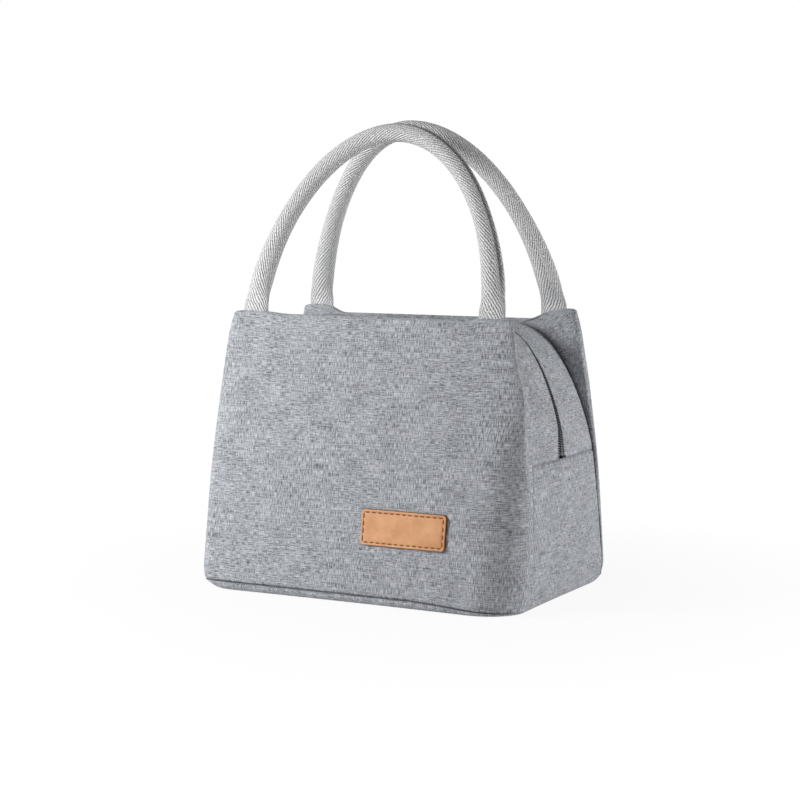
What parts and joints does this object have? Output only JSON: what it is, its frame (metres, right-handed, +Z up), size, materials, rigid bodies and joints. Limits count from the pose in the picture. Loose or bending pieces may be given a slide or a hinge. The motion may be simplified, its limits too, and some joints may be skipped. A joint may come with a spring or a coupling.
{
  "type": "insulated lunch bag",
  "caption": "Soft insulated lunch bag with padded cloth walls, a zip over the roof, a foil lining, rope-cored webbing handles and a bare leather label.",
  "frame": {"origin": "middle of the base, on the floor", "axes": "+X along the width, -Y towards the front with the label, +Z up"},
  "size_m": [0.2318, 0.1484, 0.2971],
  "materials": {
    "cloth": "heather grey linen-look weave",
    "foam": "closed-cell foam",
    "lining": "silver foil film",
    "zip_tape": "woven tape",
    "zip_coil": "nylon coil",
    "zip_metal": "plated metal",
    "webbing": "off-white twill webbing",
    "rope": "cotton rope",
    "leather": "tan leather"
  },
  "bodies": {
    "base": {"bottom_panel": "cloth", "bottom_foam": "foam", "bottom_lining": "lining", "front_panel_lower": "cloth", "back_panel_lower": "cloth", "front_foam_lower": "foam", "back_foam_lower": "foam", "front_lining_lower": "lining", "back_lining_lower": "lining", "left_gusset": "cloth", "right_gusset": "cloth", "left_gusset_foam": "foam", "right_gusset_foam": "foam", "left_gusset_lining": "lining", "right_gusset_lining": "lining", "label": "leather", "zip_end_stops": "zip_metal"},
    "front_flap": {"front_panel_upper": "cloth", "front_foam_upper": "foam", "front_lining_upper": "lining", "front_zip_strip": "cloth", "front_strip_foam": "foam", "front_strip_lining": "lining", "front_zip_tape": "zip_tape", "front_zip_coil": "zip_coil", "front_handle_tabs": "webbing"},
    "back_flap": {"back_panel_upper": "cloth", "back_foam_upper": "foam", "back_lining_upper": "lining", "back_zip_strip": "cloth", "back_strip_foam": "foam", "back_strip_lining": "lining", "back_zip_tape": "zip_tape", "back_zip_coil": "zip_coil", "back_handle_tabs": "webbing"},
    "front_handle": {"front_handle_sleeve": "webbing", "front_handle_rope": "rope"},
    "back_handle": {"back_handle_sleeve": "webbing", "back_handle_rope": "rope"},
    "slider": {"zip_slider": "zip_metal"},
    "pull": {"zip_pull": "zip_metal"}
  },
  "joints": [
    {"name": "front_flap_fold", "type": "hinge", "parent": "base", "child": "front_flap", "pos_m": [0, -0.06008, 0.088], "axis": [1, 0, 0], "range_deg": [0, 35]},
    {"name": "back_flap_fold", "type": "hinge", "parent": "base", "child": "back_flap", "pos_m": [0, 0.06008, 0.088], "axis": [-1, 0, 0], "range_deg": [0, 35]},
    {"name": "front_handle_swing", "type": "hinge", "parent": "front_flap", "child": "front_handle", "pos_m": [0, -0.0421, 0.17922], "axis": [1, 0, 0], "range_deg": [-1.5, 105], "stiffness_Nm_per_rad": 0.15},
    {"name": "back_handle_swing", "type": "hinge", "parent": "back_flap", "child": "back_handle", "pos_m": [0, 0.0421, 0.17922], "axis": [-1, 0, 0], "range_deg": [-6.5, 105], "stiffness_Nm_per_rad": 0.15},
    {"name": "slider_travel", "type": "slide", "parent": "base", "child": "slider", "axis": [0.3338, 0, 0.9426], "range_m": [0, 0.05]},
    {"name": "pull_swing", "type": "hinge", "parent": "slider", "child": "pull", "pos_m": [-0.11231, 0, 0.09631], "axis": [0, 1, 0], "range_deg": [0, 130]}
  ]
}
